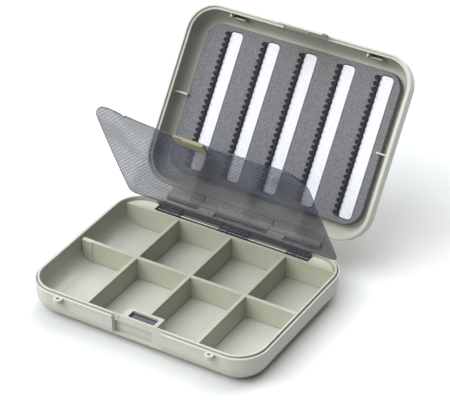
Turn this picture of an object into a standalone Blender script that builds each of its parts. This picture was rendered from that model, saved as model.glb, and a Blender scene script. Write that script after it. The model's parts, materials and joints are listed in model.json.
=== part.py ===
"""A small clip-shut box for fishing flies, standing open on a table.

The base holds a frame of eight compartments under a clear flip cover. The lid holds a foam pad with five
rows for hooks, and clips to the front of the base with a springy latch.

Lengths are in millimetres until a mesh is made. X runs along the hinge, -Y is the front, +Z is up, and the
origin is the centre of the base's underside. The lid, the latch and the cover are drawn shut, and the
empties on their hinges turn them open.
"""

import math

import bmesh
import bpy
from mathutils import Vector

MM = 0.001
GAP = 0.3

# Outside of the shut box, seen from above.
HALF_LENGTH = 62.0
HALF_WIDTH = 46.0
CORNER = 15.2
CORNER_STEPS = 9

# Base, measured up from the table.
RIM_Z = 15.0
LIP_Z = 16.0
FLOOR_Z = 2.2
BASE_ROUND = 9.0
STEP_IN = 0.4
WALL = 2.6
INSIDE_ROUND = 6.5
LIP_INSET = 1.4
LIP_WIDTH = 1.0
GROOVE_Z = 14.5

# Lid, shut on the base.
LID_RIM_Z = RIM_Z + GAP
LID_TOP_Z = 28.8
LID_CEILING_Z = 27.6
LID_ROUND = 9.0
LID_INSIDE_ROUND = 6.0
LID_SKIRT = 1.05
LID_WALL = 1.7
LID_BEAD_Z = 17.2
LID_LEDGE_Z = LIP_Z + GAP

# Lid hinge, along the back.
LID_AXIS = Vector((0.0, 51.0, 14.7))
LID_OPEN = 125.8
BARREL = 2.2
BARREL_HOLE = 1.05
PIN = 0.75
PIN_HALF = 42.0
BASE_KNUCKLE = (15.0, 24.0)
LID_KNUCKLES = ((-42.6, -24.3), (-14.7, 14.7), (24.3, 42.6))
ARM = 1.7
HINGE_ROOT_Y = 44.9
LEAF_LOW_Z = 15.5
LEAF_TOP_Z = 16.9

# Compartment frame, dropped into the base.
DIVIDER = 1.8
DIVIDER_END = 2.3
DIVIDER_END_X = 53.2
DIVIDER_TOP_Z = 14.0
CROSS_WALLS = (-28.5, 1.25, 31.1)
BACK_WALL_Y = 37.0
SHELF_X = 43.0
SHELF_Z = 8.0

# Flip cover over the compartments.
COVER_AXIS = Vector((0.0, 40.9, 12.8))
COVER_OPEN = 62.5
COVER_HALF = 57.8
COVER_FRONT_Y = -38.4
COVER_BACK_Y = 41.3
COVER_SHOULDER_Y = 35.6
COVER_Z = DIVIDER_TOP_Z + GAP
COVER_THICK = 0.8
COVER_CORNER = 12.0
COVER_BACK_CORNER = 3.5
NOTCH_X = 37.5
NOTCH_LENGTH = 4.0
NOTCH_DEPTH = 1.4
COVER_BARREL = 1.3
COVER_HOLE = 0.8
ROD = 0.5
ROD_HALF = 50.0
COVER_KNUCKLES = ((-42.4, -30.0), (-8.0, 8.0), (30.0, 42.4))

# Catch of the cover, in its front edge, and its pocket in the base.
CATCH_X = (-10.5, 6.0)
CATCH_BACK_Y = (-33.0, -30.4)
CATCH_THICK = 1.1
TONGUE_X = (-5.4, 5.7)
TONGUE_Y = (COVER_FRONT_Y, -36.9)
TONGUE_Z = 13.5
POCKET_X = (-6.3, 7.7)
POCKET_Y = (-41.2, -36.2)
POCKET_FLOOR_Z = 11.6
PLATE_THICK = 1.3
PLATE_BORDER = 0.6
POCKET_WALL_X = (-9.2, 9.7)
POCKET_WALL_Y = (-43.9, -34.7)
POCKET_WALL_LOW_Z = 0.8

# Latch of the lid and its seat in the base's front.
LATCH_X = (-11.0, 13.0)
LATCH_OUT_Y = -46.2
LATCH_IN_Y = -44.7
LATCH_TIP_Z = 8.5
LATCH_ROOT_Z = 20.0
HOOK_X = (-7.5, 5.5)
HOOK_Y = -43.75
SEAT_Y = -44.4
SEAT_SIDE = 1.0
SEAT_LOW_Z = 3.2
HOLLOW_X = (-11.6, 8.8)
HOLLOW_Z = (5.4, 12.3)
HOLLOW_Y = -42.7
HOLLOW_BACK_X = (-12.8, -9.0)
HOLLOW_BACK = ((-41.8, 13.0), (-43.9, 13.0), (-43.9, 4.6), (-41.8, 2.8))

# Cord eyelets on the front.
EYELET_X = 40.8
EYELET_Y = -47.1
EYELET = 2.2
EYELET_HOLE = 0.85
EYELET_Z = (12.6, 14.8)
EYELET_ROOT_Y = -45.0

# Ribs inside the lid, over the foam's sides, and two small brackets behind its front wall, in Y and Z.
RIB_Y = (0.3, 1.1)
RIB_Z = (20.4, 22.7)
BRACKET_X = 38.0
BRACKET_LENGTH = 7.2
BRACKET_THICK = 0.8
BRACKET_RIB = ((-44.6, 17.6), (-41.8, 17.6), (-41.8, 26.4), (-43.0, 25.4), (-44.6, 23.0))
BRACKET_WALL_Y = (-42.4, -41.8)
BRACKET_WALL_Z = (20.5, 26.4)

# Foam in the lid.
PAD_HALF_X = 54.0
PAD_HALF_Y = 38.0
PAD_CORNER = 9.0
PAD_FACE_Z = 23.0
PAD_BACK_Z = LID_CEILING_Z - GAP
ROWS = 5
ROW_PITCH = 20.85
FIRST_ROW_X = -37.3
ROW_WIDTH = 7.0
ROW_HALF = 35.4
ROW_CORNER = 2.0
TEETH = 24
SLIT_THICK = 0.6

# One tooth of a saw-edged strip: how far left of the white strip's edge, and how far along its pitch.
TOOTH_LEFT = ((1.4, 0.0), (2.3, 0.22), (3.0, 0.5), (3.1, 0.74), (2.5, 0.93), (1.5, 0.98))
TOOTH_RIGHT = ((0.2, 0.9), (-0.4, 0.55), (-0.4, 0.25))

OLIVE_PLASTIC = ((0.50, 0.50, 0.43, 1.0), 0.45, 0.0)
PALE_PLASTIC = ((0.56, 0.57, 0.50, 1.0), 0.45, 0.0)
SMOKE_PLASTIC = ((0.34, 0.34, 0.42, 0.45), 0.2, 0.0)
DARK_PLASTIC = ((0.10, 0.09, 0.14, 1.0), 0.3, 0.0)
GREY_FOAM = ((0.22, 0.22, 0.23, 1.0), 0.9, 0.0)
WHITE_FOAM = ((0.85, 0.85, 0.88, 1.0), 0.8, 0.0)
BLACK_FOAM = ((0.02, 0.02, 0.025, 1.0), 0.8, 0.0)
STEEL = ((0.60, 0.60, 0.60, 1.0), 0.3, 1.0)


def clear_scene():
    for obj in list(bpy.data.objects):
        bpy.data.objects.remove(obj)


def material(name, look):
    colour, roughness, metallic = look
    made = bpy.data.materials.new(name)
    made.use_nodes = True
    shader = made.node_tree.nodes["Principled BSDF"]
    shader.inputs["Base Color"].default_value = colour
    shader.inputs["Alpha"].default_value = colour[3]
    shader.inputs["Roughness"].default_value = roughness
    shader.inputs["Metallic"].default_value = metallic
    made.diffuse_color = colour
    return made


def arc(centre_u, centre_v, radius, start, end, steps):
    """Points on an arc, from one angle to another in degrees, both ends included."""
    angles = [math.radians(start + (end - start) * i / steps) for i in range(steps + 1)]
    return [(centre_u + radius * math.cos(a), centre_v + radius * math.sin(a)) for a in angles]


def rounded_outline(low_u, high_u, low_v, high_v, radius, steps=CORNER_STEPS):
    """A rectangle with round corners, anticlockwise."""
    outline = arc(high_u - radius, high_v - radius, radius, 0, 90, steps)
    outline += arc(low_u + radius, high_v - radius, radius, 90, 180, steps)
    outline += arc(low_u + radius, low_v + radius, radius, 180, 270, steps)
    return outline + arc(high_u - radius, low_v + radius, radius, 270, 360, steps)


def box_outline(low_u, high_u, low_v, high_v):
    return [(high_u, high_v), (low_u, high_v), (low_u, low_v), (high_u, low_v)]


def circle(centre_u, centre_v, radius, sides):
    return arc(centre_u, centre_v, radius, 0, 360, sides)[:-1]


def add_rings(mesh, rings):
    """One closed body through rings with equal numbers of points, capped at both ends."""
    made = [[mesh.verts.new(point) for point in ring] for ring in rings]
    for lower, upper in zip(made, made[1:]):
        count = len(lower)
        for i in range(count):
            j = (i + 1) % count
            mesh.faces.new((lower[i], lower[j], upper[j], upper[i]))
    mesh.faces.new(made[0][::-1])
    mesh.faces.new(made[-1])


def add_prism(mesh, outline, axis, low, high):
    """An outline pushed along an axis. The outline is in the other two axes, in X, Y, Z order."""
    place = {
        "x": lambda u, v, w: (w, u, v),
        "y": lambda u, v, w: (u, w, v),
        "z": lambda u, v, w: (u, v, w),
    }[axis]
    add_rings(mesh, [[place(u, v, w) for u, v in outline] for w in (low, high)])


def span(side, near, far):
    """A range on one side of the middle, low end first."""
    return sorted((side * near, side * far))


def add_box(mesh, span_x, span_y, span_z):
    add_prism(mesh, box_outline(*span_x, *span_y), "z", *span_z)


def shell_ring(inset, z):
    """The box's outline at an inset from its outside."""
    outline = rounded_outline(
        inset - HALF_LENGTH,
        HALF_LENGTH - inset,
        inset - HALF_WIDTH,
        HALF_WIDTH - inset,
        CORNER - inset,
    )
    return [(x, y, z) for x, y in outline]


def finish(name, mesh, look=None, origin=None, parent=None):
    """Makes the object, with its mesh in metres about its own origin."""
    origin = origin or Vector((0, 0, 0))
    bmesh.ops.recalc_face_normals(mesh, faces=mesh.faces)
    for vert in mesh.verts:
        vert.co = (vert.co - origin) * MM
    data = bpy.data.meshes.new(name)
    mesh.to_mesh(data)
    mesh.free()
    data.shade_smooth()
    data.set_sharp_from_angle(angle=math.radians(35))
    obj = bpy.data.objects.new(name, data)
    bpy.context.scene.collection.objects.link(obj)
    if parent:
        obj.parent = parent
    else:
        obj.location = origin * MM
    if look:
        data.materials.append(look)
    else:
        obj.hide_render = True
        obj.display_type = "WIRE"
    return obj


def boolean(obj, tool, operation, crossing=False):
    """Adds, cuts or keeps what the tool covers. Crossing is for a mesh whose own boxes overlap."""
    step = obj.modifiers.new(tool.name, "BOOLEAN")
    step.operation = operation
    step.object = tool
    step.solver = "EXACT"
    step.use_self = crossing


def hinge(name, position, degrees, parent=None, parent_origin=None):
    """An empty on a hinge's axis, which turns what hangs on it about X."""
    empty = bpy.data.objects.new(name, None)
    bpy.context.scene.collection.objects.link(empty)
    empty.location = (position - (parent_origin or Vector((0, 0, 0)))) * MM
    empty.rotation_euler.x = math.radians(degrees)
    empty.parent = parent
    return empty


def base_profile():
    """(inset, z) up the outside of the base, over its rim and down its inside to the floor."""
    outside = arc(BASE_ROUND + STEP_IN, BASE_ROUND, BASE_ROUND, 270, 180, 5)
    rim = [(STEP_IN, RIM_Z - 1.5), (0, RIM_Z - 1.2), (0, RIM_Z - 0.2), (0.2, RIM_Z), (0.9, RIM_Z)]
    groove = [(1.0, GROOVE_Z), (LIP_INSET - 0.1, GROOVE_Z)]
    lip = [(LIP_INSET, LIP_Z - 0.2), (LIP_INSET + 0.2, LIP_Z), (LIP_INSET + LIP_WIDTH - 0.2, LIP_Z)]
    lip += [(LIP_INSET + LIP_WIDTH, LIP_Z - 0.2), (WALL, LIP_Z - 0.8)]
    inside = arc(WALL + INSIDE_ROUND, FLOOR_Z + INSIDE_ROUND, INSIDE_ROUND, 180, 270, 5)
    return outside + rim + groove + lip + inside


def make_base(look):
    mesh = bmesh.new()
    add_rings(mesh, [shell_ring(inset, z) for inset, z in base_profile()])
    base = finish("base_shell", mesh, look)

    parts = bmesh.new()
    for side in (-1, 1):
        eyelet = arc(side * EYELET_X, EYELET_Y, EYELET, 180, 360, 8)
        eyelet += [(side * EYELET_X + EYELET, EYELET_ROOT_Y), (side * EYELET_X - EYELET, EYELET_ROOT_Y)]
        add_prism(parts, eyelet, "z", *EYELET_Z)
        add_prism(parts, base_knuckle_outline(), "x", *span(side, *BASE_KNUCKLE))
    front, back = POCKET_WALL_Y
    block = [(back, DIVIDER_TOP_Z), (front, DIVIDER_TOP_Z), (front, 4.6)]
    block += [(front + 4.9, POCKET_WALL_LOW_Z), (back, POCKET_WALL_LOW_Z)]
    add_prism(parts, block, "x", *POCKET_WALL_X)
    add_prism(parts, HOLLOW_BACK, "x", *HOLLOW_BACK_X)
    boolean(base, finish("base_additions", parts), "UNION", crossing=True)

    cuts = bmesh.new()
    seat = rounded_outline(LATCH_X[0] - SEAT_SIDE, LATCH_X[1] + SEAT_SIDE, SEAT_LOW_Z, 30, 2.2, 4)
    add_prism(cuts, seat, "y", -50, SEAT_Y)
    add_prism(cuts, rounded_outline(*HOLLOW_X, *HOLLOW_Z, 0.8, 2), "y", SEAT_Y - 1, HOLLOW_Y)
    add_prism(cuts, rounded_outline(*POCKET_X, *POCKET_Y, 0.8, 2), "z", POCKET_FLOOR_Z, 20)
    for side in (-1, 1):
        add_prism(cuts, circle(side * EYELET_X, EYELET_Y, EYELET_HOLE, 12), "z", 10, 14.9)
    add_prism(cuts, circle(LID_AXIS.y, LID_AXIS.z, BARREL_HOLE, 14), "x", -43, 43)
    boolean(base, finish("base_cuts", cuts), "DIFFERENCE", crossing=True)
    return base


def base_knuckle_outline():
    """A barrel of the base with its arm to the back wall, in Y and Z."""
    y, z = LID_AXIS.y, LID_AXIS.z
    arm = [(HINGE_ROOT_Y, z - BARREL + ARM), (HINGE_ROOT_Y, z - BARREL)]
    return arm + arc(y, z, BARREL, -90, 155, 12)


def lid_knuckle_outline():
    """A barrel of the lid with its leaf to the lid's rim, in Y and Z."""
    y, z = LID_AXIS.y, LID_AXIS.z
    leaf = [(HINGE_ROOT_Y, LEAF_TOP_Z), (HINGE_ROOT_Y, LEAF_LOW_Z)]
    return leaf + arc(y, z, BARREL, 160, 450, 14)


def make_insert(look):
    """Walls that cross each other, trimmed to the inside of the base."""
    bottom = FLOOR_Z + GAP
    half = DIVIDER / 2
    mesh = bmesh.new()
    add_box(mesh, (-65, 65), (-half, half), (0, DIVIDER_TOP_Z))
    add_box(mesh, (-65, 65), (BACK_WALL_Y - half, BACK_WALL_Y + half), (0, DIVIDER_TOP_Z))
    for x in CROSS_WALLS:
        front = POCKET_WALL_Y[1] + GAP if x == CROSS_WALLS[1] else -50
        add_box(mesh, (x - half, x + half), (front, BACK_WALL_Y), (0, DIVIDER_TOP_Z))
    for side in (-1, 1):
        end = DIVIDER_END / 2
        add_box(mesh, span(side, DIVIDER_END_X, 65), (-end, end), (0, DIVIDER_TOP_Z))
        add_box(mesh, span(side, SHELF_X, 65), (BACK_WALL_Y, 50), (SHELF_Z, DIVIDER_TOP_Z))
    insert = finish("compartment_insert", mesh, look)

    room = bmesh.new()
    curve = arc(WALL + INSIDE_ROUND, FLOOR_Z + INSIDE_ROUND, INSIDE_ROUND - GAP, 270, 180, 5)
    curve.append((WALL + GAP, 20))
    add_rings(room, [shell_ring(inset, z) for inset, z in curve])
    boolean(insert, finish("insert_room", room), "INTERSECT", crossing=True)

    cuts = bmesh.new()
    hole = circle(COVER_AXIS.y, COVER_AXIS.z, COVER_HOLE, 10)
    add_prism(cuts, hole, "x", -ROD_HALF - GAP, ROD_HALF + GAP)
    boolean(insert, finish("insert_cuts", cuts), "DIFFERENCE")
    return insert


def make_rods(look):
    pin = bmesh.new()
    add_prism(pin, circle(LID_AXIS.y, LID_AXIS.z, PIN, 12), "x", -PIN_HALF, PIN_HALF)
    finish("hinge_pin", pin, look)
    rod = bmesh.new()
    add_prism(rod, circle(COVER_AXIS.y, COVER_AXIS.z, ROD, 10), "x", -ROD_HALF, ROD_HALF)
    finish("cover_rod", rod, look)


def make_catch_plate(look):
    """The plate in the bottom of the pocket, with a raised border."""
    low_x, high_x = POCKET_X[0] + GAP, POCKET_X[1] - GAP
    low_y, high_y = POCKET_Y[0] + GAP, POCKET_Y[1] - GAP
    z = POCKET_FLOOR_Z + GAP
    rings = []
    border = ((0, 0), (0, PLATE_THICK), (PLATE_BORDER, PLATE_THICK), (PLATE_BORDER, PLATE_THICK - 0.3))
    for inset, height in border:
        sides = (low_x + inset, high_x - inset, low_y + inset, high_y - inset)
        rings.append([(x, y, z + height) for x, y in rounded_outline(*sides, 0.8 - inset, 3)])
    mesh = bmesh.new()
    add_rings(mesh, rings)
    finish("catch_plate", mesh, look)


def lid_profile():
    """(inset, z) down the outside of the shut lid, round its rim and up its inside to the ceiling."""
    outside = arc(LID_ROUND + STEP_IN, LID_TOP_Z - LID_ROUND, LID_ROUND, 90, 180, 5)
    rim = [(STEP_IN, 16.9), (0, 16.6), (0, LID_RIM_Z + 0.2), (0.2, LID_RIM_Z)]
    ledge = [(LID_SKIRT, LID_RIM_Z), (LID_SKIRT, LID_LEDGE_Z), (WALL - 0.2, LID_LEDGE_Z)]
    bead = [(WALL - 0.2, LID_BEAD_Z), (LID_WALL, LID_BEAD_Z + 0.7)]
    middle = LID_CEILING_Z - LID_INSIDE_ROUND
    inside = arc(LID_WALL + LID_INSIDE_ROUND, middle, LID_INSIDE_ROUND, 180, 90, 5)
    return outside + rim + ledge + bead + inside


def make_lid(look, parent):
    mesh = bmesh.new()
    add_rings(mesh, [shell_ring(inset, z) for inset, z in lid_profile()])
    lid = finish("lid_shell", mesh, look, LID_AXIS, parent)

    parts = bmesh.new()
    for ends in LID_KNUCKLES:
        add_prism(parts, lid_knuckle_outline(), "x", *ends)
    for side in (-1, 1):
        add_box(parts, span(side, PAD_HALF_X - 1.2, 60.9), RIB_Y, RIB_Z)
        left = side * BRACKET_X - BRACKET_LENGTH / 2
        add_prism(parts, BRACKET_RIB, "x", left, left + BRACKET_THICK)
        add_box(parts, (left, left + BRACKET_LENGTH), BRACKET_WALL_Y, BRACKET_WALL_Z)
    boolean(lid, finish("lid_additions", parts, None, LID_AXIS, parent), "UNION", crossing=True)

    cuts = bmesh.new()
    notch = (LATCH_X[0] - GAP, LATCH_X[1] + GAP)
    add_box(cuts, notch, (-50, -40), (0, LATCH_ROOT_Z + GAP))
    add_prism(cuts, circle(LID_AXIS.y, LID_AXIS.z, BARREL_HOLE, 14), "x", -43, 43)
    boolean(lid, finish("lid_cuts", cuts, None, LID_AXIS, parent), "DIFFERENCE")
    return lid


def make_latch(look, parent):
    """The springy tab at the lid's free edge, with a hook on its inner face."""
    axis = Vector((0.0, LATCH_OUT_Y + 0.9, LATCH_ROOT_Z))
    outline = [
        (LATCH_OUT_Y, LATCH_ROOT_Z),
        (LATCH_OUT_Y, LATCH_TIP_Z + 0.6),
        (LATCH_OUT_Y + 0.4, LATCH_TIP_Z),
        (LATCH_IN_Y, LATCH_TIP_Z),
        (LATCH_IN_Y, LID_RIM_Z + 1.2),
        (LATCH_IN_Y + 0.9, LID_RIM_Z + 2.0),
        (LATCH_IN_Y + 0.9, LATCH_ROOT_Z),
    ]
    mesh = bmesh.new()
    add_prism(mesh, outline, "x", *LATCH_X)
    moving = hinge("latch_axis", axis, 0, parent, LID_AXIS)
    latch = finish("latch_tab", mesh, look, axis, moving)
    hook = bmesh.new()
    wedge = [(LATCH_IN_Y - 0.5, 12.0), (LATCH_IN_Y - 0.5, 9.4), (LATCH_IN_Y, 9.4)]
    wedge += [(HOOK_Y, 10.9), (HOOK_Y, 12.0)]
    add_prism(hook, wedge, "x", *HOOK_X)
    boolean(latch, finish("latch_hook", hook, None, axis, moving), "UNION")
    return latch


def row_x(row):
    """The middle of a white strip."""
    return FIRST_ROW_X + ROW_PITCH * row


def make_foam(pad_look, strip_look, slit_look, parent):
    pad = bmesh.new()
    outline = rounded_outline(-PAD_HALF_X, PAD_HALF_X, -PAD_HALF_Y, PAD_HALF_Y, PAD_CORNER, 6)
    add_prism(pad, outline, "z", PAD_FACE_Z, PAD_BACK_Z)
    pad = finish("foam_pad", pad, pad_look, LID_AXIS, parent)

    windows = bmesh.new()
    for row in range(ROWS):
        left, right = row_x(row) - ROW_WIDTH / 2, row_x(row) + ROW_WIDTH / 2
        window = rounded_outline(
            left - GAP, right + GAP, -ROW_HALF - GAP, ROW_HALF + GAP, ROW_CORNER + GAP, 4
        )
        add_prism(windows, window, "z", PAD_FACE_Z - 1, PAD_BACK_Z + 1)
        add_strip(f"foam_strip_{row + 1}", left, right, strip_look, parent)
        add_slits(f"slit_strip_{row + 1}", left, slit_look, parent)
    boolean(pad, finish("pad_windows", windows, None, LID_AXIS, parent), "DIFFERENCE")


def add_strip(name, left, right, look, parent):
    mesh = bmesh.new()
    strip = rounded_outline(left, right, -ROW_HALF, ROW_HALF, ROW_CORNER, 4)
    add_prism(mesh, strip, "z", PAD_FACE_Z, PAD_BACK_Z)
    finish(name, mesh, look, LID_AXIS, parent)


def add_slits(name, edge, look, parent):
    """A row of foam teeth along a white strip's left edge, pointing away from it, on top of the pad."""
    pitch = 2 * (ROW_HALF - 0.4) / TEETH
    starts = [pitch * tooth - ROW_HALF + 0.4 for tooth in range(TEETH)]
    outline = [(edge - out, y + pitch * along) for y in starts for out, along in TOOTH_LEFT]
    outline += [(edge - out, y + pitch * along) for y in reversed(starts) for out, along in TOOTH_RIGHT]
    mesh = bmesh.new()
    top = PAD_FACE_Z - GAP
    add_prism(mesh, outline, "z", top - SLIT_THICK, top)
    finish(name, mesh, look, LID_AXIS, parent)


def cover_outline():
    """The cover from above. Its back edge steps forward at its ends, and its front edge has two notches."""
    back_x = SHELF_X - GAP
    outline = [(back_x, COVER_BACK_Y), (-back_x, COVER_BACK_Y), (-back_x, COVER_SHOULDER_Y)]
    corner = COVER_BACK_CORNER
    outline += arc(-COVER_HALF + corner, COVER_SHOULDER_Y - corner, corner, 90, 180, 4)
    middle_y = COVER_FRONT_Y + COVER_CORNER
    outline += arc(-COVER_HALF + COVER_CORNER, middle_y, COVER_CORNER, 180, 270, 8)
    for side in (-1, 1):
        notch = [(side * NOTCH_X, COVER_FRONT_Y), (side * NOTCH_X, COVER_FRONT_Y + NOTCH_DEPTH)]
        notch.append((side * (NOTCH_X + NOTCH_LENGTH), COVER_FRONT_Y))
        outline += notch[::side]
    outline += arc(COVER_HALF - COVER_CORNER, middle_y, COVER_CORNER, 270, 360, 8)
    outline += arc(COVER_HALF - corner, COVER_SHOULDER_Y - corner, corner, 0, 90, 4)
    return outline + [(back_x, COVER_SHOULDER_Y)]


def make_cover(look, parent):
    mesh = bmesh.new()
    add_prism(mesh, cover_outline(), "z", COVER_Z, COVER_Z + COVER_THICK)
    cover = finish("flip_cover", mesh, look, COVER_AXIS, parent)

    y, z = COVER_AXIS.y, COVER_AXIS.z
    neck = [(COVER_BACK_Y - 0.05, COVER_Z + 0.4), (y - 1.0, COVER_Z + 0.4)]
    barrels = bmesh.new()
    for ends in COVER_KNUCKLES:
        add_prism(barrels, neck + arc(y, z, COVER_BARREL, 140, 432, 12), "x", *ends)
    boolean(cover, finish("cover_barrels", barrels, None, COVER_AXIS, parent), "UNION")

    cuts = bmesh.new()
    add_prism(cuts, circle(y, z, COVER_HOLE, 10), "x", -43, 43)
    add_prism(cuts, catch_outline(GAP, -50), "z", COVER_Z - 1, COVER_Z + COVER_THICK + 1)
    boolean(cover, finish("cover_cuts", cuts, None, COVER_AXIS, parent), "DIFFERENCE")
    return cover


def catch_outline(grow, front):
    """The catch from above, wider by this on its sides and back, as far forward as this."""
    left, right = CATCH_X[0] - grow, CATCH_X[1] + grow
    back_left, back_right = CATCH_BACK_Y
    return [(left, front), (right, front), (right, back_right + grow), (left, back_left + grow)]


def make_cover_catch(look, parent):
    """A clip set in the cover's front edge, with a tongue that drops into the pocket."""
    mesh = bmesh.new()
    add_prism(mesh, catch_outline(0, COVER_FRONT_Y), "z", COVER_Z, COVER_Z + CATCH_THICK)
    catch = finish("cover_catch", mesh, look, COVER_AXIS, parent)
    tongue = bmesh.new()
    outline = [
        (TONGUE_Y[0], COVER_Z + 0.4),
        (TONGUE_Y[0], TONGUE_Z + 0.3),
        (TONGUE_Y[0] + 0.3, TONGUE_Z),
        (TONGUE_Y[1] - 0.3, TONGUE_Z),
        (TONGUE_Y[1], TONGUE_Z + 0.3),
        (TONGUE_Y[1], COVER_Z + 0.4),
    ]
    add_prism(tongue, outline, "x", *TONGUE_X)
    boolean(catch, finish("catch_tongue", tongue, None, COVER_AXIS, parent), "UNION")


def main():
    clear_scene()
    olive = material("olive_plastic", OLIVE_PLASTIC)
    steel = material("steel", STEEL)
    make_base(olive)
    make_insert(material("pale_plastic", PALE_PLASTIC))
    make_catch_plate(material("dark_plastic", DARK_PLASTIC))
    make_rods(steel)

    lid_axis = hinge("lid_axis", LID_AXIS, -LID_OPEN)
    make_lid(olive, lid_axis)
    make_latch(olive, lid_axis)
    foams = [
        material("grey_foam", GREY_FOAM),
        material("white_foam", WHITE_FOAM),
        material("black_foam", BLACK_FOAM),
    ]
    make_foam(*foams, lid_axis)

    cover_axis = hinge("cover_axis", COVER_AXIS, -COVER_OPEN)
    make_cover(material("smoke_plastic", SMOKE_PLASTIC), cover_axis)
    make_cover_catch(olive, cover_axis)


main()
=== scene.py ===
import json
import math

import bmesh
import bpy
from mathutils import Matrix, Vector


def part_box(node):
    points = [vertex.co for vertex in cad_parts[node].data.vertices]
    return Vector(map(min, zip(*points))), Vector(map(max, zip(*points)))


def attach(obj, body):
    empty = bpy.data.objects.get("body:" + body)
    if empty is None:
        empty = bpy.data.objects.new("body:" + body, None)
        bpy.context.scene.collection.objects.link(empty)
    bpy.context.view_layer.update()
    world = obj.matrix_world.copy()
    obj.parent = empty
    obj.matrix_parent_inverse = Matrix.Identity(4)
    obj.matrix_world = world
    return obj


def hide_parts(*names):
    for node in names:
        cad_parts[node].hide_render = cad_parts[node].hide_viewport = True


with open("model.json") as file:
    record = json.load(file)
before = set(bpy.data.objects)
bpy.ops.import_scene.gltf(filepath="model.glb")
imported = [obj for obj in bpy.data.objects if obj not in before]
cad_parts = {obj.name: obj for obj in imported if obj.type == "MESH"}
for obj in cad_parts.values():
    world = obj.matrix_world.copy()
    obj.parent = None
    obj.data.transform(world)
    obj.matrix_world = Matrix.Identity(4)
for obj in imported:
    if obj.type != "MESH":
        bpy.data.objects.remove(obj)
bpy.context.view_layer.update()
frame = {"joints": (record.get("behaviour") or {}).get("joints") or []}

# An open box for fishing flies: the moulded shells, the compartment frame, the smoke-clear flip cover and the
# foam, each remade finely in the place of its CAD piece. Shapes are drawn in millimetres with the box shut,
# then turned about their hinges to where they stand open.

MM = 0.001
GAP = 0.3

# Outside of the shut box, seen from above.
HALF_LENGTH = 62.0
HALF_WIDTH = 46.0
CORNER = 15.2
CORNER_STEPS = 24

# Well past the box, for walls that are trimmed and for tools that cut right through.
FAR_X = 65.0
FAR_Y = 50.0
FAR_Z = 30.0
PAST_LIP_Z = 20.0
PAST_KNUCKLES = 43.0

# Base, measured up from the table.
RIM_Z = 15.0
RIM_WIDTH = 0.85
LIP_Z = 16.0
FLOOR_Z = 2.2
BASE_ROUND = 9.0
STEP_IN = 0.4
STEP_Z = (RIM_Z - 1.5, RIM_Z - 1.2)
WALL = 2.6
INSIDE_ROUND = 6.5
LIP_INSET = 1.4
LIP_WIDTH = 1.0
LIP_SLOPE = 0.9
GROOVE_Z = 13.4
RIM_ROUND = 0.3
RIM_STEPS = 3
ROUND_STEPS = 12

# Lid, shut on the base.
LID_RIM_Z = RIM_Z + GAP
LID_TOP_Z = 28.8
LID_CEILING_Z = 27.6
LID_ROUND = 9.0
LID_STEP_Z = (16.6, 16.9)
LID_INSIDE_ROUND = 6.0
LID_SKIRT = 1.05
LID_WALL = 1.7
LID_BEAD_Z = 17.2
LID_BEAD_SLOPE = 0.7
LID_BEAD_INSET = WALL - 0.2
LID_LEDGE_Z = LIP_Z + GAP

# Lid hinge, along the back, with its axis as (y, z).
LID_AXIS = (51.0, 14.7)
BARREL = 2.2
BARREL_HOLE = 1.05
BASE_KNUCKLE = (15.0, 24.0)
LID_KNUCKLES = ((-42.6, -24.3), (-14.7, 14.7), (24.3, 42.6))
ARM = 1.7
HINGE_ROOT_Y = 44.9
LEAF_LOW_Z = 15.5
LEAF_TOP_Z = 16.9

# Compartment frame, dropped into the base.
DIVIDER = 1.8
DIVIDER_END = 2.3
DIVIDER_END_X = 53.2
DIVIDER_TOP_Z = 14.0
CROSS_WALLS = (-28.5, 1.25, 31.1)
BACK_WALL_Y = 37.0
SHELF_X = 43.0
SHELF_Z = 8.0

# Flip cover over the compartments, with its hinge's axis as (y, z).
COVER_AXIS = (40.9, 12.8)
COVER_HALF = 57.8
COVER_FRONT_Y = -38.4
COVER_BACK_Y = 41.3
COVER_SHOULDER_Y = 35.6
COVER_Z = DIVIDER_TOP_Z + GAP
COVER_THICK = 0.8
COVER_MIDDLE_Z = COVER_Z + COVER_THICK / 2
COVER_NECK_Y = (COVER_BACK_Y - 0.05, COVER_AXIS[0] - 1.0)
COVER_CORNER = 12.0
COVER_BACK_CORNER = 3.5
NOTCH_X = 37.5
NOTCH_LENGTH = 4.0
NOTCH_DEPTH = 1.4
NOTCH_FLAT = 0.4
COVER_BARREL = 1.3
COVER_HOLE = 0.8
COVER_KNUCKLES = ((-42.4, -30.0), (-8.0, 8.0), (30.0, 42.4))
ROD_HALF = 50.0

# The cover's curl: how far its front left corner lifts, where that begins, how steeply it grows, and the
# lines along which the sheet is divided so that it can bend.
CURL = 4.5
CURL_START_X = 5.0
CURL_START_Y = 36.0
CURL_POWER_X = 1.6
CURL_POWER_Y = 1.5
CURL_CUTS_X = range(-55, -4, 5)
CURL_CUTS_Y = range(-35, 40, 5)

# Catch of the cover, in its front edge, and its pocket in the base.
CATCH_X = (-10.5, 6.0)
CATCH_BACK_Y = (-33.0, -30.4)
CATCH_THICK = 1.1
TONGUE_X = (-5.4, 5.7)
TONGUE_Y = (COVER_FRONT_Y, -36.9)
TONGUE_Z = 13.5
TONGUE_CHAMFER = 0.3
POCKET_X = (-6.3, 7.7)
POCKET_Y = (-41.2, -36.2)
POCKET_FLOOR_Z = 11.6
POCKET_CORNER = 0.8
POCKET_WALL_X = (-9.2, 9.7)
POCKET_WALL_Y = (-43.9, -34.7)
POCKET_WALL_LOW_Z = 0.8
POCKET_WALL_CUT_Y = 4.9
POCKET_WALL_CUT_Z = 4.6
PLATE_EDGE = 0.15
PLATE_BORDER = 0.6
PLATE_SUNK = 0.3

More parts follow.
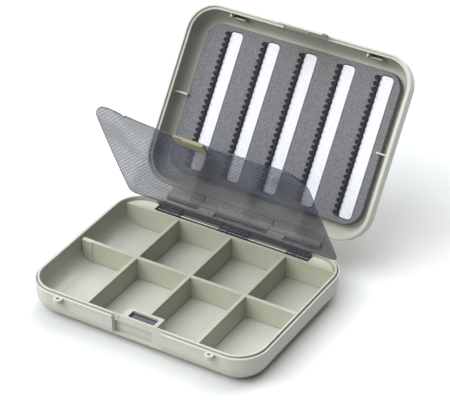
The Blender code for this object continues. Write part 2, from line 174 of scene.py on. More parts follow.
# Latch of the lid and its seat in the base's front, with a narrow slot in the seat's wall.
LATCH_X = (-11.0, 13.0)
LATCH_OUT_Y = -46.2
LATCH_IN_Y = -44.7
LATCH_ROOT_Y = LATCH_IN_Y + 0.9
LATCH_ROOT_SLOPE_Z = (LID_RIM_Z + 1.2, LID_RIM_Z + 2.0)
LATCH_OUTER_CHAMFER = (0.6, 0.8)
LATCH_INNER_CHAMFER = (0.2, 0.3)
LATCH_TIP_Z = 8.5
LATCH_ROOT_Z = 20.0
LATCH_NOTCH_Y = -40.0
HOOK_X = (-7.5, 5.5)
HOOK_Y = -43.75
HOOK_Z = (9.4, 10.9, 12.0)
HOOK_CUT_Y = -43.0
HOOK_CUT_Z = (8.0, 13.0)
SEAT_Y = -44.4
SEAT_SIDE = 1.0
SEAT_LOW_Z = 3.2
SEAT_CORNER = 2.2
HOLLOW_X = (-11.6, 8.8)
HOLLOW_Z = (5.4, 12.3)
HOLLOW_Y = -42.7
HOLLOW_CORNER = 0.8
HOLLOW_BACK_X = (-12.8, -9.0)
HOLLOW_BACK = ((-41.8, 13.0), (-43.9, 13.0), (-43.9, 4.6), (-41.8, 2.8))
SLOT_X = (-9.6, -8.9)
SLOT_Z = (13.2, RIM_Z)
SLOT_Y = -43.9
SLOT_CORNER = 0.2

# Cord eyelets on the front.
EYELET_X = 40.8
EYELET_Y = -47.1
EYELET = 2.2
EYELET_HOLE = 0.85
EYELET_Z = (12.6, 14.8)
EYELET_HOLE_Z = (10.0, 14.9)
EYELET_ROOT_Y = -45.0

# Ribs inside the lid, over the foam's sides, and two small brackets behind its front wall, in Y and Z.
RIB_X = (52.8, 60.9)
RIB_Y = (0.3, 1.1)
RIB_Z = (20.4, 22.7)
BRACKET_X = 38.0
BRACKET_LENGTH = 7.2
BRACKET_THICK = 0.8
BRACKET_RIB = ((-44.6, 17.6), (-41.8, 17.6), (-41.8, 26.4), (-43.0, 25.4), (-44.6, 23.0))
BRACKET_WALL_Y = (-42.4, -41.8)
BRACKET_WALL_Z = (20.5, 26.4)

# Foam in the lid.
PAD_HALF_X = 54.0
PAD_HALF_Y = 38.0
PAD_CORNER = 9.0
PAD_FACE_Z = 23.0
PAD_BACK_Z = LID_CEILING_Z - GAP
ROWS = 5
ROW_LEFT = -40.8
ROW_PITCH = 20.85
ROW_WIDTH = 7.0
ROW_HALF = 35.4
ROW_CORNER = 2.0
TEETH = 24
TEETH_HALF = ROW_HALF - 0.4
SLIT_THICK = 0.6

# One tooth of a saw-edged strip: how far left of the white strip's edge, and how far along its pitch.
TOOTH_LEFT = (
    (1.0, 0.0), (1.6, 0.06), (2.3, 0.16), (2.8, 0.3), (2.95, 0.46),
    (2.8, 0.62), (2.3, 0.76), (1.6, 0.86), (1.0, 0.9),
)
TOOTH_RIGHT = ((0.3, 0.92), (-0.2, 0.72), (-0.4, 0.55), (-0.4, 0.35), (0.1, 0.1))

# Rounding of the edges, by piece.
SHELL_EDGE = 0.14
FRAME_EDGE = 0.3
LATCH_EDGE = 0.18
PAD_EDGE = 0.25
STRIP_EDGE = 0.45
THIN_EDGE = 0.12

# Surfaces, with the bump and the spacing in metres. The hatch is the cover's fine slanting lines.
CREASE_DEGREES = 40
FINE_BUMP = 0.00002
HATCH_ACROSS = (0.73, 0.314, -0.603)
HATCH_SPACING = 0.0016
HATCH_BRIGHTER = 4.5
HATCH_ALPHA = 0.09

# Lamps: a name, the azimuth and elevation in degrees that they shine from, a strength and a colour.
WARM = (1.0, 0.98, 0.92)
COOL = (0.86, 0.93, 1.0)
LAMP_WIDTH_DEGREES = 45
LAMPS = (
    ("front", -12, 45, 1.7, WARM),
    ("low_left", -60, 32, 1.6, WARM),
    ("high_left", -60, 55, 1.6, COOL),
    ("top", 0, 89, 1.0, COOL),
    ("low_back", 170, 30, 1.1, WARM),
    ("high_back", 175, 55, 1.35, WARM),
    ("back_left", -150, 55, 0.9, COOL),
)
SKY_STRENGTH = 0.05
FLOOR_SIZE = 30.0
FLOOR_DROP = 0.0001


def box_of(name):
    """A node's lowest and highest corners, in millimetres."""
    low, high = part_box(name)
    return Vector(low) / MM, Vector(high) / MM


def joint(name):
    return next(entry for entry in frame["joints"] if entry["name"] == name)


def shut_to_rest(name):
    """Turns a shape drawn with the box shut to where it stands at rest, in metres."""
    hinge = Vector(joint(name)["pos_m"])
    turn = Matrix.Rotation(-math.radians(joint(name)["range_deg"][1]), 4, "X")
    return Matrix.Translation(hinge) @ turn @ Matrix.Translation(-hinge) @ Matrix.Scale(MM, 4)


AT_REST = {
    "base": Matrix.Scale(MM, 4),
    "lid": shut_to_rest("lid_hinge"),
    "cover": shut_to_rest("cover_hinge"),
    "latch": shut_to_rest("lid_hinge"),
}


# Outlines and solids

def arc(centre_u, centre_v, radius, start, end, steps):
    """Points on an arc, from one angle to another in degrees, both ends included."""
    angles = [math.radians(start + (end - start) * i / steps) for i in range(steps + 1)]
    return [(centre_u + radius * math.cos(a), centre_v + radius * math.sin(a)) for a in angles]


def rounded_outline(low_u, high_u, low_v, high_v, radius, steps=CORNER_STEPS):
    """A rectangle with round corners, anticlockwise."""
    outline = arc(high_u - radius, high_v - radius, radius, 0, 90, steps)
    outline += arc(low_u + radius, high_v - radius, radius, 90, 180, steps)
    outline += arc(low_u + radius, low_v + radius, radius, 180, 270, steps)
    return outline + arc(high_u - radius, low_v + radius, radius, 270, 360, steps)


def circle(centre_u, centre_v, radius, sides):
    return arc(centre_u, centre_v, radius, 0, 360, sides)[:-1]


def add_rings(mesh, rings):
    """One closed body through rings with equal numbers of points, capped at both ends."""
    made = [[mesh.verts.new(point) for point in ring] for ring in rings]
    for lower, upper in zip(made, made[1:]):
        count = len(lower)
        for i in range(count):
            j = (i + 1) % count
            mesh.faces.new((lower[i], lower[j], upper[j], upper[i]))
    mesh.faces.new(made[0][::-1])
    mesh.faces.new(made[-1])


def add_prism(mesh, outline, axis, low, high):
    """An outline pushed along an axis. The outline is in the other two axes, in X, Y, Z order."""
    point = {
        "x": lambda u, v, w: (w, u, v),
        "y": lambda u, v, w: (u, w, v),
        "z": lambda u, v, w: (u, v, w),
    }[axis]
    add_rings(mesh, [[point(u, v, w) for u, v in outline] for w in (low, high)])


def add_box(mesh, span_x, span_y, span_z):
    (left, right), (front, back) = span_x, span_y
    corners = [(right, back), (left, back), (left, front), (right, front)]
    add_prism(mesh, corners, "z", *span_z)


def span(side, near, far):
    """A range on one side of the middle, low end first."""
    return sorted((side * near, side * far))


def shell_ring(inset, z):
    """The box's outline at an inset from its outside."""
    low_x, low_y = inset - HALF_LENGTH, inset - HALF_WIDTH
    return [(x, y, z) for x, y in rounded_outline(low_x, -low_x, low_y, -low_y, CORNER - inset)]


def link(name, data):
    obj = bpy.data.objects.new(name, data)
    bpy.context.scene.collection.objects.link(obj)
    return obj


def new_object(name, mesh):
    bmesh.ops.recalc_face_normals(mesh, faces=mesh.faces)
    data = bpy.data.meshes.new(name)
    mesh.to_mesh(data)
    mesh.free()
    return link(name, data)


def settle(obj):
    """Makes the modifiers' result the mesh."""
    graph = bpy.context.evaluated_depsgraph_get()
    data = bpy.data.meshes.new_from_object(obj.evaluated_get(graph))
    obj.modifiers.clear()
    obj.data = data


def carve(obj, mesh, operation, crossing=False):
    """Adds, cuts or keeps what the tool mesh covers, and drops the tool."""
    tool = new_object("tool", mesh)
    step = obj.modifiers.new("carve", "BOOLEAN")
    step.operation = operation
    step.object = tool
    step.solver = "EXACT"
    step.use_self = crossing
    settle(obj)
    bpy.data.objects.remove(tool)


def soften(obj, width, angle=32, segments=2):
    """Rounds the sharp edges and keeps the flats flat."""
    step = obj.modifiers.new("soften", "BEVEL")
    step.width = width
    step.segments = segments
    step.limit_method = "ANGLE"
    step.angle_limit = math.radians(angle)
    step.miter_outer = "MITER_ARC"
    settle(obj)


def place(obj, body, look, node):
    """Stands the piece where it is at rest, on its body, in place of its CAD node."""
    obj.data.transform(AT_REST[body])
    obj.data.shade_smooth()
    obj.data.set_sharp_from_angle(angle=math.radians(CREASE_DEGREES))
    normals = obj.modifiers.new("normals", "WEIGHTED_NORMAL")
    normals.keep_sharp = True
    normals.weight = 60
    settle(obj)
    obj.data.materials.clear()
    obj.data.materials.append(look)
    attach(obj, body)
    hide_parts(node)


# Nodes of a material

def new_material(name, colour, roughness, metallic=0.0):
    made = bpy.data.materials.new(name)
    made.use_nodes = True
    shader = made.node_tree.nodes["Principled BSDF"]
    shader.inputs["Base Color"].default_value = (*colour, 1.0)
    shader.inputs["Roughness"].default_value = roughness
    shader.inputs["Metallic"].default_value = metallic
    return made, made.node_tree, shader


def add_node(tree, kind, inputs=None, **settings):
    node = tree.nodes.new(kind)
    for key, value in settings.items():
        setattr(node, key, value)
    for key, value in (inputs or {}).items():
        node.inputs[key].default_value = value
    return node


def noise(tree, scale, detail=3.0, roughness=0.6, stretch=(1, 1, 1)):
    """Noise through the solid, at so many features to a metre."""
    solid = add_node(tree, "ShaderNodeTexCoord")
    sizes = add_node(tree, "ShaderNodeMapping", {"Scale": stretch})
    grain = add_node(tree, "ShaderNodeTexNoise", {"Scale": scale, "Detail": detail, "Roughness": roughness})
    tree.links.new(solid.outputs["Object"], sizes.inputs["Vector"])
    tree.links.new(sizes.outputs["Vector"], grain.inputs["Vector"])
    return grain.outputs["Fac"]


def spread(tree, factor, low, high, from_low=0.35, from_high=0.65):
    """A factor spread to a range of values."""
    values = {"From Min": from_low, "From Max": from_high, "To Min": low, "To Max": high}
    node = add_node(tree, "ShaderNodeMapRange", values)
    tree.links.new(factor, node.inputs["Value"])
    return node.outputs["Result"]


def calculate(tree, operation, first, second):
    """A Math node on a factor and either another factor or a number."""
    node = add_node(tree, "ShaderNodeMath", operation=operation)
    tree.links.new(first, node.inputs[0])
    if isinstance(second, float):
        node.inputs[1].default_value = second
    else:
        tree.links.new(second, node.inputs[1])
    return node.outputs["Value"]


def stripes(tree, across, spacing):
    """Soft parallel lines, from 0 to 1, so many metres apart along a direction."""
    solid = add_node(tree, "ShaderNodeTexCoord")
    along = add_node(tree, "ShaderNodeVectorMath", {1: across}, operation="DOT_PRODUCT")
    tree.links.new(solid.outputs["Object"], along.inputs[0])
    turns = calculate(tree, "MULTIPLY", along.outputs["Value"], 2 * math.pi / spacing)
    wave = add_node(tree, "ShaderNodeMath", operation="SINE")
    tree.links.new(turns, wave.inputs[0])
    return spread(tree, wave.outputs["Value"], 0.0, 1.0, from_low=-1.0, from_high=1.0)


def mix_colours(tree, factor, first, second):
    mix = add_node(tree, "ShaderNodeMix", data_type="RGBA")
    mix.inputs["A"].default_value = (*first, 1.0)
    mix.inputs["B"].default_value = (*second, 1.0)
    tree.links.new(factor, mix.inputs["Factor"])
    return mix.outputs["Result"]


def add_bump(tree, shader, height, distance, strength=1.0):
    bump = add_node(tree, "ShaderNodeBump", {"Strength": strength, "Distance": distance})
    tree.links.new(height, bump.inputs["Height"])
    tree.links.new(bump.outputs["Normal"], shader.inputs["Normal"])


def moulded_plastic(name, colour, deeper, roughness=0.38):
    """Satin plastic with a faint cloudiness and the fine grain of a moulding tool."""
    made, tree, shader = new_material(name, colour, roughness)
    cloud = spread(tree, noise(tree, scale=60.0), 0.0, 1.0)
    tree.links.new(mix_colours(tree, cloud, colour, deeper), shader.inputs["Base Color"])
    grain = noise(tree, scale=2200.0, detail=2.0)
    tree.links.new(spread(tree, grain, roughness - 0.05, roughness + 0.08), shader.inputs["Roughness"])
    add_bump(tree, shader, grain, FINE_BUMP)
    return made


def smoke_plastic(name, colour, alpha):
    """Smoke-clear plastic with fine slanting lines moulded into it."""
    made, tree, shader = new_material(name, colour, roughness=0.16)
    lines = stripes(tree, HATCH_ACROSS, HATCH_SPACING)
    patches = spread(tree, noise(tree, scale=30.0, detail=1.0), 0.25, 1.0, from_low=0.42, from_high=0.5)
    hatch = calculate(tree, "MULTIPLY", lines, patches)
    bright = [HATCH_BRIGHTER * channel for channel in colour]
    tree.links.new(mix_colours(tree, hatch, colour, bright), shader.inputs["Base Color"])
    opacity = spread(tree, hatch, alpha + HATCH_ALPHA, alpha - HATCH_ALPHA, from_low=0.0, from_high=1.0)
    tree.links.new(opacity, shader.inputs["Alpha"])
    add_bump(tree, shader, hatch, FINE_BUMP)
    return made


def foam(name, colour, speckle, amount=0.5, roughness=0.9, cells=900.0):
    """Closed-cell foam: fine speckles, and a soft dimpled surface."""
    made, tree, shader = new_material(name, colour, roughness)
    fleck = noise(tree, cells, detail=4.0, roughness=0.75)
    factor = spread(tree, fleck, 0.0, amount, from_low=0.4, from_high=0.62)
    tree.links.new(mix_colours(tree, factor, colour, speckle), shader.inputs["Base Color"])
    dimples = noise(tree, cells * 0.7, detail=3.0)
    add_bump(tree, shader, dimples, distance=0.00012, strength=0.7)
    shader.inputs["Specular IOR Level"].default_value = 0.25
    return made


def steel(name):
    """Drawn steel, with fine scratches along the rod."""
    made, tree, shader = new_material(name, (0.30, 0.30, 0.31), roughness=0.35, metallic=1.0)
    scratch = noise(tree, scale=900.0, detail=2.0, stretch=(0.05, 1, 1))
    tree.links.new(spread(tree, scratch, 0.3, 0.45), shader.inputs["Roughness"])
    add_bump(tree, shader, scratch, FINE_BUMP)
    return made


# Base

def base_profile():
    """(inset, z) up the outside of the base, over its rim and down its inside to the floor."""
    outside = arc(BASE_ROUND + STEP_IN, BASE_ROUND, BASE_ROUND, 270, 180, ROUND_STEPS)
    rim = [(STEP_IN, STEP_Z[0]), (0, STEP_Z[1]), (0, RIM_Z - RIM_ROUND)]
    rim += arc(RIM_ROUND, RIM_Z - RIM_ROUND, RIM_ROUND, 180, 90, RIM_STEPS)[1:] + [(RIM_WIDTH, RIM_Z)]
    groove = [(RIM_WIDTH + 0.05, GROOVE_Z), (LIP_INSET, GROOVE_Z)]
    lip_end = LIP_INSET + LIP_WIDTH
    lip = [(LIP_INSET, LIP_Z - RIM_ROUND)]
    lip += arc(LIP_INSET + RIM_ROUND, LIP_Z - RIM_ROUND, RIM_ROUND, 180, 90, RIM_STEPS)[1:]
    lip += arc(lip_end - RIM_ROUND, LIP_Z - RIM_ROUND, RIM_ROUND, 90, 0, RIM_STEPS)
    lip.append((WALL, LIP_Z - LIP_SLOPE))
    inside = arc(WALL + INSIDE_ROUND, FLOOR_Z + INSIDE_ROUND, INSIDE_ROUND, 180, 270, ROUND_STEPS)
    return outside + rim + groove + lip + inside


def base_knuckle_outline():
    """A barrel of the base with its arm to the back wall, in Y and Z."""
    y, z = LID_AXIS
    arm = [(HINGE_ROOT_Y, z - BARREL + ARM), (HINGE_ROOT_Y, z - BARREL)]
    return arm + arc(y, z, BARREL, -90, 155, steps=30)


def pocket_wall_outline():
    """The block that holds the pocket, in Y and Z, with its front corner cut off to stay inside the base."""
    front, back = POCKET_WALL_Y
    outline = [(back, DIVIDER_TOP_Z), (front, DIVIDER_TOP_Z), (front, POCKET_WALL_CUT_Z)]
    return outline + [(front + POCKET_WALL_CUT_Y, POCKET_WALL_LOW_Z), (back, POCKET_WALL_LOW_Z)]


def add_base_parts(base):
    parts = bmesh.new()
    for side in (-1, 1):
        eyelet = arc(side * EYELET_X, EYELET_Y, EYELET, 180, 360, steps=24)
        eyelet += [(side * EYELET_X + EYELET, EYELET_ROOT_Y), (side * EYELET_X - EYELET, EYELET_ROOT_Y)]
        add_prism(parts, eyelet, "z", *EYELET_Z)
        add_prism(parts, base_knuckle_outline(), "x", *span(side, *BASE_KNUCKLE))
    add_prism(parts, pocket_wall_outline(), "x", *POCKET_WALL_X)
    add_prism(parts, HOLLOW_BACK, "x", *HOLLOW_BACK_X)
    carve(base, parts, "UNION", crossing=True)


def cut_base(base):
    """Cuts the latch's seat with its hollow and slot, the pocket, and the eyelets' and the hinge's holes."""
    cuts = bmesh.new()
    seat_x = (LATCH_X[0] - SEAT_SIDE, LATCH_X[1] + SEAT_SIDE)
    seat = rounded_outline(*seat_x, SEAT_LOW_Z, FAR_Z, SEAT_CORNER, steps=10)
    add_prism(cuts, seat, "y", -FAR_Y, SEAT_Y)
    hollow = rounded_outline(*HOLLOW_X, *HOLLOW_Z, HOLLOW_CORNER, steps=5)
    add_prism(cuts, hollow, "y", SEAT_Y - 1, HOLLOW_Y)
    pocket = rounded_outline(*POCKET_X, *POCKET_Y, POCKET_CORNER, steps=5)
    add_prism(cuts, pocket, "z", POCKET_FLOOR_Z, PAST_LIP_Z)
    slot = rounded_outline(*SLOT_X, *SLOT_Z, SLOT_CORNER, steps=3)
    add_prism(cuts, slot, "y", -HALF_WIDTH, SLOT_Y)
    for side in (-1, 1):
        hole = circle(side * EYELET_X, EYELET_Y, EYELET_HOLE, sides=24)
        add_prism(cuts, hole, "z", *EYELET_HOLE_Z)
    add_prism(cuts, circle(*LID_AXIS, BARREL_HOLE, sides=24), "x", -PAST_KNUCKLES, PAST_KNUCKLES)
    carve(base, cuts, "DIFFERENCE", crossing=True)


def make_base(look):
    mesh = bmesh.new()
    add_rings(mesh, [shell_ring(inset, z) for inset, z in base_profile()])
    base = new_object("base_moulding", mesh)
    add_base_parts(base)
    cut_base(base)
    soften(base, SHELL_EDGE)
    place(base, "base", look, "base_shell")


def make_frame(look):
    """The compartment walls, trimmed to the inside of the base."""
    half, end = DIVIDER / 2, DIVIDER_END / 2
    whole_length, whole_height = (-FAR_X, FAR_X), (0, DIVIDER_TOP_Z)
    mesh = bmesh.new()
    add_box(mesh, whole_length, (-half, half), whole_height)
    add_box(mesh, whole_length, (BACK_WALL_Y - half, BACK_WALL_Y + half), whole_height)
    for x in CROSS_WALLS:
        front = POCKET_WALL_Y[1] + GAP if x == CROSS_WALLS[1] else -FAR_Y
        add_box(mesh, (x - half, x + half), (front, BACK_WALL_Y), whole_height)
    for side in (-1, 1):
        add_box(mesh, span(side, DIVIDER_END_X, FAR_X), (-end, end), whole_height)
        add_box(mesh, span(side, SHELF_X, FAR_X), (BACK_WALL_Y, FAR_Y), (SHELF_Z, DIVIDER_TOP_Z))
    walls = new_object("compartment_frame", mesh)

    room = bmesh.new()
    curve = arc(WALL + INSIDE_ROUND, FLOOR_Z + INSIDE_ROUND, INSIDE_ROUND - GAP, 270, 180, ROUND_STEPS)
    curve.append((WALL + GAP, PAST_LIP_Z))
    add_rings(room, [shell_ring(inset, z) for inset, z in curve])
    carve(walls, room, "INTERSECT", crossing=True)
    hole = bmesh.new()
    add_prism(hole, circle(*COVER_AXIS, COVER_HOLE, sides=20), "x", -ROD_HALF - GAP, ROD_HALF + GAP)
    carve(walls, hole, "DIFFERENCE")
    soften(walls, FRAME_EDGE)
    place(walls, "base", look, "compartment_insert")


def make_plate(face_look, border_look):
    """The dark plate in the pocket, sunk a little inside a blacker border."""
    low, high = box_of("catch_plate")
    heights = [(0, low.z), (0, high.z - PLATE_EDGE), (PLATE_EDGE, high.z), (PLATE_BORDER, high.z)]
    heights.append((PLATE_BORDER + 0.05, high.z - PLATE_SUNK))
    rings = []
    for inset, z in heights:
        sides = (low.x + inset, high.x - inset, low.y + inset, high.y - inset)
        rings.append([(x, y, z) for x, y in rounded_outline(*sides, POCKET_CORNER - inset, steps=6)])
    mesh = bmesh.new()
    add_rings(mesh, rings)
    plate = new_object("pocket_plate", mesh)
    place(plate, "base", face_look, "catch_plate")
    plate.data.materials.append(border_look)
    below_border = (high.z - PLATE_SUNK / 2) * MM
    for face in plate.data.polygons:
        in_the_middle = face.center.z < below_border and face.normal.z > 0.9
        face.material_index = 0 if in_the_middle else 1


def make_rod(name, node, axis, look):
    """A rod with chamfered ends, as long and as thick as its node."""
    low, high = box_of(node)
    radius = (high.z - low.z) / 2
    chamfer, end_size = 0.25, 0.7
    sizes = ((low.x, end_size), (low.x + chamfer, 1.0), (high.x - chamfer, 1.0), (high.x, end_size))
    mesh = bmesh.new()
    add_rings(mesh, [[(x, y, z) for y, z in circle(*axis, radius * size, sides=28)] for x, size in sizes])
    place(new_object(name, mesh), "base", look, node)


# Lid

def lid_profile():
    """(inset, z) down the outside of the shut lid, round its rim and up its inside to the ceiling."""
    outside = arc(LID_ROUND + STEP_IN, LID_TOP_Z - LID_ROUND, LID_ROUND, 90, 180, ROUND_STEPS)
    rim = [(STEP_IN, LID_STEP_Z[1]), (0, LID_STEP_Z[0]), (0, LID_RIM_Z + RIM_ROUND)]
    rim += arc(RIM_ROUND, LID_RIM_Z + RIM_ROUND, RIM_ROUND, 180, 270, RIM_STEPS)[1:]
    ledge = [(LID_SKIRT - 0.05, LID_RIM_Z), (LID_SKIRT, LID_LEDGE_Z), (LID_BEAD_INSET - 0.1, LID_LEDGE_Z)]
    bead = [(LID_BEAD_INSET, LID_LEDGE_Z + 0.1), (LID_BEAD_INSET, LID_BEAD_Z)]
    bead.append((LID_WALL, LID_BEAD_Z + LID_BEAD_SLOPE))
    middle = LID_CEILING_Z - LID_INSIDE_ROUND
    inside = arc(LID_WALL + LID_INSIDE_ROUND, middle, LID_INSIDE_ROUND, 180, 90, ROUND_STEPS)
    return outside + rim + ledge + bead + inside


def lid_knuckle_outline():
    """A barrel of the lid with its leaf to the lid's rim, in Y and Z."""
    y, z = LID_AXIS
    leaf = [(HINGE_ROOT_Y, LEAF_TOP_Z), (HINGE_ROOT_Y, LEAF_LOW_Z)]
    return leaf + arc(y, z, BARREL, 160, 450, steps=36)


def make_lid(look):
    mesh = bmesh.new()
    add_rings(mesh, [shell_ring(inset, z) for inset, z in lid_profile()])
    lid = new_object("lid_moulding", mesh)

    parts = bmesh.new()
    for ends in LID_KNUCKLES:
        add_prism(parts, lid_knuckle_outline(), "x", *ends)
    for side in (-1, 1):
        add_box(parts, span(side, *RIB_X), RIB_Y, RIB_Z)
        left = side * BRACKET_X - BRACKET_LENGTH / 2
        add_prism(parts, BRACKET_RIB, "x", left, left + BRACKET_THICK)
        add_box(parts, (left, left + BRACKET_LENGTH), BRACKET_WALL_Y, BRACKET_WALL_Z)
    carve(lid, parts, "UNION", crossing=True)

    cuts = bmesh.new()
    notch_x = (LATCH_X[0] - GAP, LATCH_X[1] + GAP)
    add_box(cuts, notch_x, (-FAR_Y, LATCH_NOTCH_Y), (0, LATCH_ROOT_Z + GAP))
    add_prism(cuts, circle(*LID_AXIS, BARREL_HOLE, sides=24), "x", -PAST_KNUCKLES, PAST_KNUCKLES)
    carve(lid, cuts, "DIFFERENCE")
    soften(lid, SHELL_EDGE)
    place(lid, "lid", look, "lid_shell")


def latch_outline():
    """The tab, its hook and its thicker root, in Y and Z."""
    hook_low, hook_point, hook_top = HOOK_Z
    slope_low, slope_high = LATCH_ROOT_SLOPE_Z
    out_y, out_z = LATCH_OUTER_CHAMFER
    in_y, in_z = LATCH_INNER_CHAMFER
    outer = [(LATCH_OUT_Y, LATCH_ROOT_Z), (LATCH_OUT_Y, LATCH_TIP_Z + out_z)]
    tip = [(LATCH_OUT_Y + out_y, LATCH_TIP_Z), (LATCH_IN_Y - in_y, LATCH_TIP_Z)]
    inner = [(LATCH_IN_Y, LATCH_TIP_Z + in_z), (LATCH_IN_Y, hook_low)]
    hook = [(HOOK_Y, hook_point), (HOOK_Y, hook_top), (LATCH_IN_Y, hook_top)]
    root = [(LATCH_IN_Y, slope_low), (LATCH_ROOT_Y, slope_high), (LATCH_ROOT_Y, LATCH_ROOT_Z)]
    return outer + tip + inner + hook + root


def make_latch(look):
    """The springy tab at the lid's free edge, with its hook cut away at both ends."""
    mesh = bmesh.new()
    add_prism(mesh, latch_outline(), "x", *LATCH_X)
    latch = new_object("latch_tongue", mesh)
    cuts = bmesh.new()
    for ends in ((LATCH_X[0] - 1, HOOK_X[0]), (HOOK_X[1], LATCH_X[1] + 1)):
        add_box(cuts, ends, (LATCH_IN_Y, HOOK_CUT_Y), HOOK_CUT_Z)
    carve(latch, cuts, "DIFFERENCE")
    soften(latch, LATCH_EDGE)
    place(latch, "latch", look, "latch_tab")


def make_foam(pad_look, strip_look, slit_shade_look):
    """The pad with a window for each row, and the rows' white strips and near-black saw-edged strips, which
    paint the shade of the hook slits.
    """
    mesh = bmesh.new()
    outline = rounded_outline(-PAD_HALF_X, PAD_HALF_X, -PAD_HALF_Y, PAD_HALF_Y, PAD_CORNER, steps=16)
    add_prism(mesh, outline, "z", PAD_FACE_Z, PAD_BACK_Z)
    pad = new_object("foam_sheet", mesh)
    windows = bmesh.new()
    for row in range(ROWS):
        left = ROW_LEFT + ROW_PITCH * row
        sides = (left - GAP, left + ROW_WIDTH + GAP, -ROW_HALF - GAP, ROW_HALF + GAP)
        window = rounded_outline(*sides, ROW_CORNER + GAP, steps=10)
        add_prism(windows, window, "z", PAD_FACE_Z - 1, PAD_BACK_Z + 1)
        make_strip(f"white_foam_{row + 1}", left, strip_look, f"foam_strip_{row + 1}")
        make_slit_shade(f"slit_shade_teeth_{row + 1}", left, slit_shade_look, f"slit_strip_{row + 1}")
    carve(pad, windows, "DIFFERENCE")
    soften(pad, PAD_EDGE, segments=3)
    place(pad, "lid", pad_look, "foam_pad")


def make_strip(name, left, look, node):
    mesh = bmesh.new()
    outline = rounded_outline(left, left + ROW_WIDTH, -ROW_HALF, ROW_HALF, ROW_CORNER, steps=10)
    add_prism(mesh, outline, "z", PAD_FACE_Z, PAD_BACK_Z)
    strip = new_object(name, mesh)
    soften(strip, STRIP_EDGE, segments=4)
    place(strip, "lid", look, node)


def make_slit_shade(name, edge, look, node):
    """A row of near-black foam teeth along a white strip's left edge: painted shade of the hook slits."""
    pitch = 2 * TEETH_HALF / TEETH
    starts = [pitch * tooth - TEETH_HALF for tooth in range(TEETH)]
    outline = [(edge - out, y + pitch * along) for y in starts for out, along in TOOTH_LEFT]
    outline += [(edge - out, y + pitch * along) for y in reversed(starts) for out, along in TOOTH_RIGHT]
    top = PAD_FACE_Z - GAP
    mesh = bmesh.new()
    # A near-black sheet just proud of the pad's face, painting the shade in the slits.
    add_prism(mesh, outline, "z", top - SLIT_THICK, top)
    slit_shade = new_object(name, mesh)
    soften(slit_shade, THIN_EDGE, angle=50)
    place(slit_shade, "lid", look, node)


# Flip cover

def cover_outline():
    """The cover from above. Its back edge steps forward at its ends, and its front edge has two notches."""
    back_x, corner = SHELF_X - GAP, COVER_BACK_CORNER
    corner_x, middle_y = COVER_HALF - COVER_CORNER, COVER_FRONT_Y + COVER_CORNER
    outline = [(back_x, COVER_BACK_Y), (-back_x, COVER_BACK_Y), (-back_x, COVER_SHOULDER_Y)]
    outline += arc(corner - COVER_HALF, COVER_SHOULDER_Y - corner, corner, 90, 180, steps=10)
    outline += arc(-corner_x, middle_y, COVER_CORNER, 180, 270, steps=24)
    notch_y = COVER_FRONT_Y + NOTCH_DEPTH
    for side in (-1, 1):
        notch = [(side * NOTCH_X, COVER_FRONT_Y), (side * NOTCH_X, notch_y)]
        notch += [(side * (NOTCH_X + NOTCH_FLAT), notch_y), (side * (NOTCH_X + NOTCH_LENGTH), COVER_FRONT_Y)]
        outline += notch[::side]
    outline += arc(corner_x, middle_y, COVER_CORNER, 270, 360, steps=24)
    outline += arc(COVER_HALF - corner, COVER_SHOULDER_Y - corner, corner, 0, 90, steps=10)
    return outline + [(back_x, COVER_SHOULDER_Y)]


def catch_outline(grow, front):
    """The catch from above, wider by this on its sides and back, as far forward as this."""
    left, right = CATCH_X[0] - grow, CATCH_X[1] + grow
    back_left, back_right = CATCH_BACK_Y
    return [(left, front), (right, front), (right, back_right + grow), (left, back_left + grow)]


def make_cover(look, edge_look):
    mesh = bmesh.new()
    add_prism(mesh, cover_outline(), "z", COVER_Z, COVER_Z + COVER_THICK)
    cover = new_object("clear_cover", mesh)
    y, z = COVER_AXIS
    neck = [(neck_y, COVER_MIDDLE_Z) for neck_y in COVER_NECK_Y]
    barrels = bmesh.new()
    for ends in COVER_KNUCKLES:
        add_prism(barrels, neck + arc(y, z, COVER_BARREL, 140, 432, steps=30), "x", *ends)
    carve(cover, barrels, "UNION")
    cuts = bmesh.new()
    add_prism(cuts, circle(y, z, COVER_HOLE, sides=20), "x", -PAST_KNUCKLES, PAST_KNUCKLES)
    add_prism(cuts, catch_outline(GAP, -FAR_Y), "z", COVER_Z - 1, COVER_Z + COVER_THICK + 1)
    carve(cover, cuts, "DIFFERENCE")
    soften(cover, THIN_EDGE)
    curl(cover)
    place(cover, "cover", look, "flip_cover")
    darken_edges(cover, edge_look)


def curl(obj):
    """Lifts the shut cover's front left corner a little, as thin sheet springs when it stands open."""
    mesh = bmesh.new()
    mesh.from_mesh(obj.data)
    for axis, places in ((Vector((1, 0, 0)), CURL_CUTS_X), (Vector((0, 1, 0)), CURL_CUTS_Y)):
        for at in places:
            everything = mesh.verts[:] + mesh.edges[:] + mesh.faces[:]
            bmesh.ops.bisect_plane(mesh, geom=everything, plane_co=axis * at, plane_no=axis)
    for vert in mesh.verts:
        left = max(0.0, -vert.co.x - CURL_START_X) / (COVER_HALF - CURL_START_X)
        forward = max(0.0, CURL_START_Y - vert.co.y) / (CURL_START_Y - COVER_FRONT_Y)
        vert.co.z += CURL * left ** CURL_POWER_X * forward ** CURL_POWER_Y
    mesh.to_mesh(obj.data)
    mesh.free()


def darken_edges(cover, edge_look):
    """Gives the edge look to the faces that don't lie flat in the sheet."""
    cover.data.materials.append(edge_look)
    across = AT_REST["cover"].to_3x3() @ Vector((0, 0, 1))
    across.normalize()
    for face in cover.data.polygons:
        face.material_index = int(abs(face.normal @ across) < 0.5)


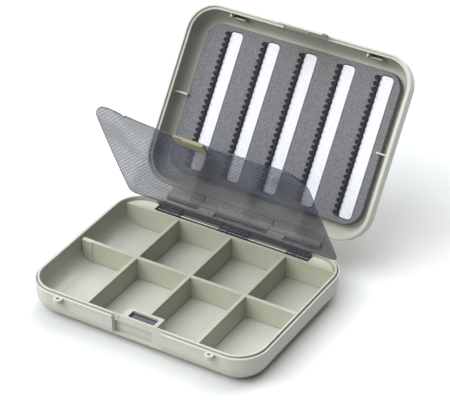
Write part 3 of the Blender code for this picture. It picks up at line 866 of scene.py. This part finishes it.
def make_catch(look):
    """The clip in the cover's front edge, with the tongue that drops into the pocket."""
    mesh = bmesh.new()
    add_prism(mesh, catch_outline(0, COVER_FRONT_Y), "z", COVER_Z, COVER_Z + CATCH_THICK)
    catch = new_object("cover_clip", mesh)
    front, back = TONGUE_Y
    top, shoulder = COVER_MIDDLE_Z, TONGUE_Z + TONGUE_CHAMFER
    outline = [(front, top), (front, shoulder), (front + TONGUE_CHAMFER, TONGUE_Z)]
    outline += [(back - TONGUE_CHAMFER, TONGUE_Z), (back, shoulder), (back, top)]
    tongue = bmesh.new()
    add_prism(tongue, outline, "x", *TONGUE_X)
    carve(catch, tongue, "UNION")
    soften(catch, THIN_EDGE)
    place(catch, "cover", look, "cover_catch")


# Stage

def toward(azimuth, elevation):
    """A direction from the box. Azimuth 0 is the front, and 90 is the right."""
    side, up = math.radians(azimuth), math.radians(elevation)
    return Vector((math.sin(side) * math.cos(up), -math.cos(side) * math.cos(up), math.sin(up)))


def look_from(azimuth, elevation, roll, distance, target, lens):
    """Places the camera in a direction from its target."""
    back = toward(azimuth, elevation)
    camera = link("camera", bpy.data.cameras.new("camera"))
    turn = back.to_track_quat("Z", "Y").to_matrix().to_4x4() @ Matrix.Rotation(math.radians(roll), 4, "Z")
    camera.matrix_world = Matrix.Translation(target + back * distance) @ turn
    camera.data.sensor_width = 36.0
    camera.data.lens = lens
    camera.data.clip_end = 20.0
    bpy.context.scene.camera = camera


def soft_light(name, azimuth, elevation, strength, colour):
    """A wide light, so far off that it lights the floor evenly out to the horizon."""
    lamp = bpy.data.lights.new(name, "SUN")
    lamp.angle = math.radians(LAMP_WIDTH_DEGREES)
    lamp.energy = strength
    lamp.color = colour
    link(name, lamp).rotation_euler = toward(azimuth, elevation).to_track_quat("Z", "Y").to_euler()


def make_sky():
    world = bpy.data.worlds.new("studio")
    world.use_nodes = True
    background = world.node_tree.nodes["Background"]
    background.inputs["Color"].default_value = (1, 1, 1, 1)
    background.inputs["Strength"].default_value = SKY_STRENGTH
    bpy.context.scene.world = world
    bpy.context.scene.view_settings.view_transform = "Standard"


def make_floor():
    bpy.ops.mesh.primitive_plane_add(size=FLOOR_SIZE, location=(0, 0, -FLOOR_DROP))
    floor = bpy.context.object
    floor.name = "floor"
    paper, tree, shader = new_material("floor_paper", (0.57, 0.57, 0.574), roughness=0.8)
    tree.links.new(spread(tree, noise(tree, scale=300.0), 0.75, 0.85), shader.inputs["Roughness"])
    floor.data.materials.append(paper)


def make_stage():
    target = Vector((0.00215, 0.03041, 0.03920))
    look_from(azimuth=31.556, elevation=33.779, roll=-0.4825, distance=1.0184, target=target, lens=173.49)
    for lamp in LAMPS:
        soft_light(*lamp)
    make_sky()
    make_floor()


def main():
    olive = moulded_plastic("olive_moulding", (0.43, 0.435, 0.385), (0.41, 0.415, 0.365))
    pale = moulded_plastic("pale_moulding", (0.42, 0.418, 0.345), (0.40, 0.398, 0.325))
    make_base(olive)
    make_frame(pale)
    make_plate(
        moulded_plastic("violet_plate", (0.10, 0.092, 0.135), (0.085, 0.08, 0.12), roughness=0.3),
        moulded_plastic("black_border", (0.02, 0.02, 0.025), (0.015, 0.015, 0.02), roughness=0.4),
    )
    metal = steel("drawn_steel")
    make_rod("lid_pin", "hinge_pin", LID_AXIS, metal)
    make_rod("cover_pin", "cover_rod", COVER_AXIS, metal)
    make_lid(olive)
    make_latch(olive)
    make_foam(
        foam("grey_cells", (0.105, 0.105, 0.112), (0.29, 0.29, 0.305), cells=1500.0),
        foam("white_cells", (0.60, 0.60, 0.65), (0.72, 0.72, 0.76), amount=0.6, roughness=0.7, cells=700.0),
        # Near-black teeth along the white strips: painted shade of the hook slits.
        foam("slit_shade_black", (0.012, 0.013, 0.016), (0.03, 0.03, 0.035), roughness=0.85, cells=800.0),
    )
    make_cover(
        smoke_plastic("smoke_clear", (0.022, 0.024, 0.043), alpha=0.51),
        smoke_plastic("smoke_edge", (0.012, 0.012, 0.018), alpha=0.7),
    )
    make_catch(moulded_plastic("clip_moulding", (0.17, 0.155, 0.09), (0.14, 0.13, 0.075)))
    make_stage()


main()
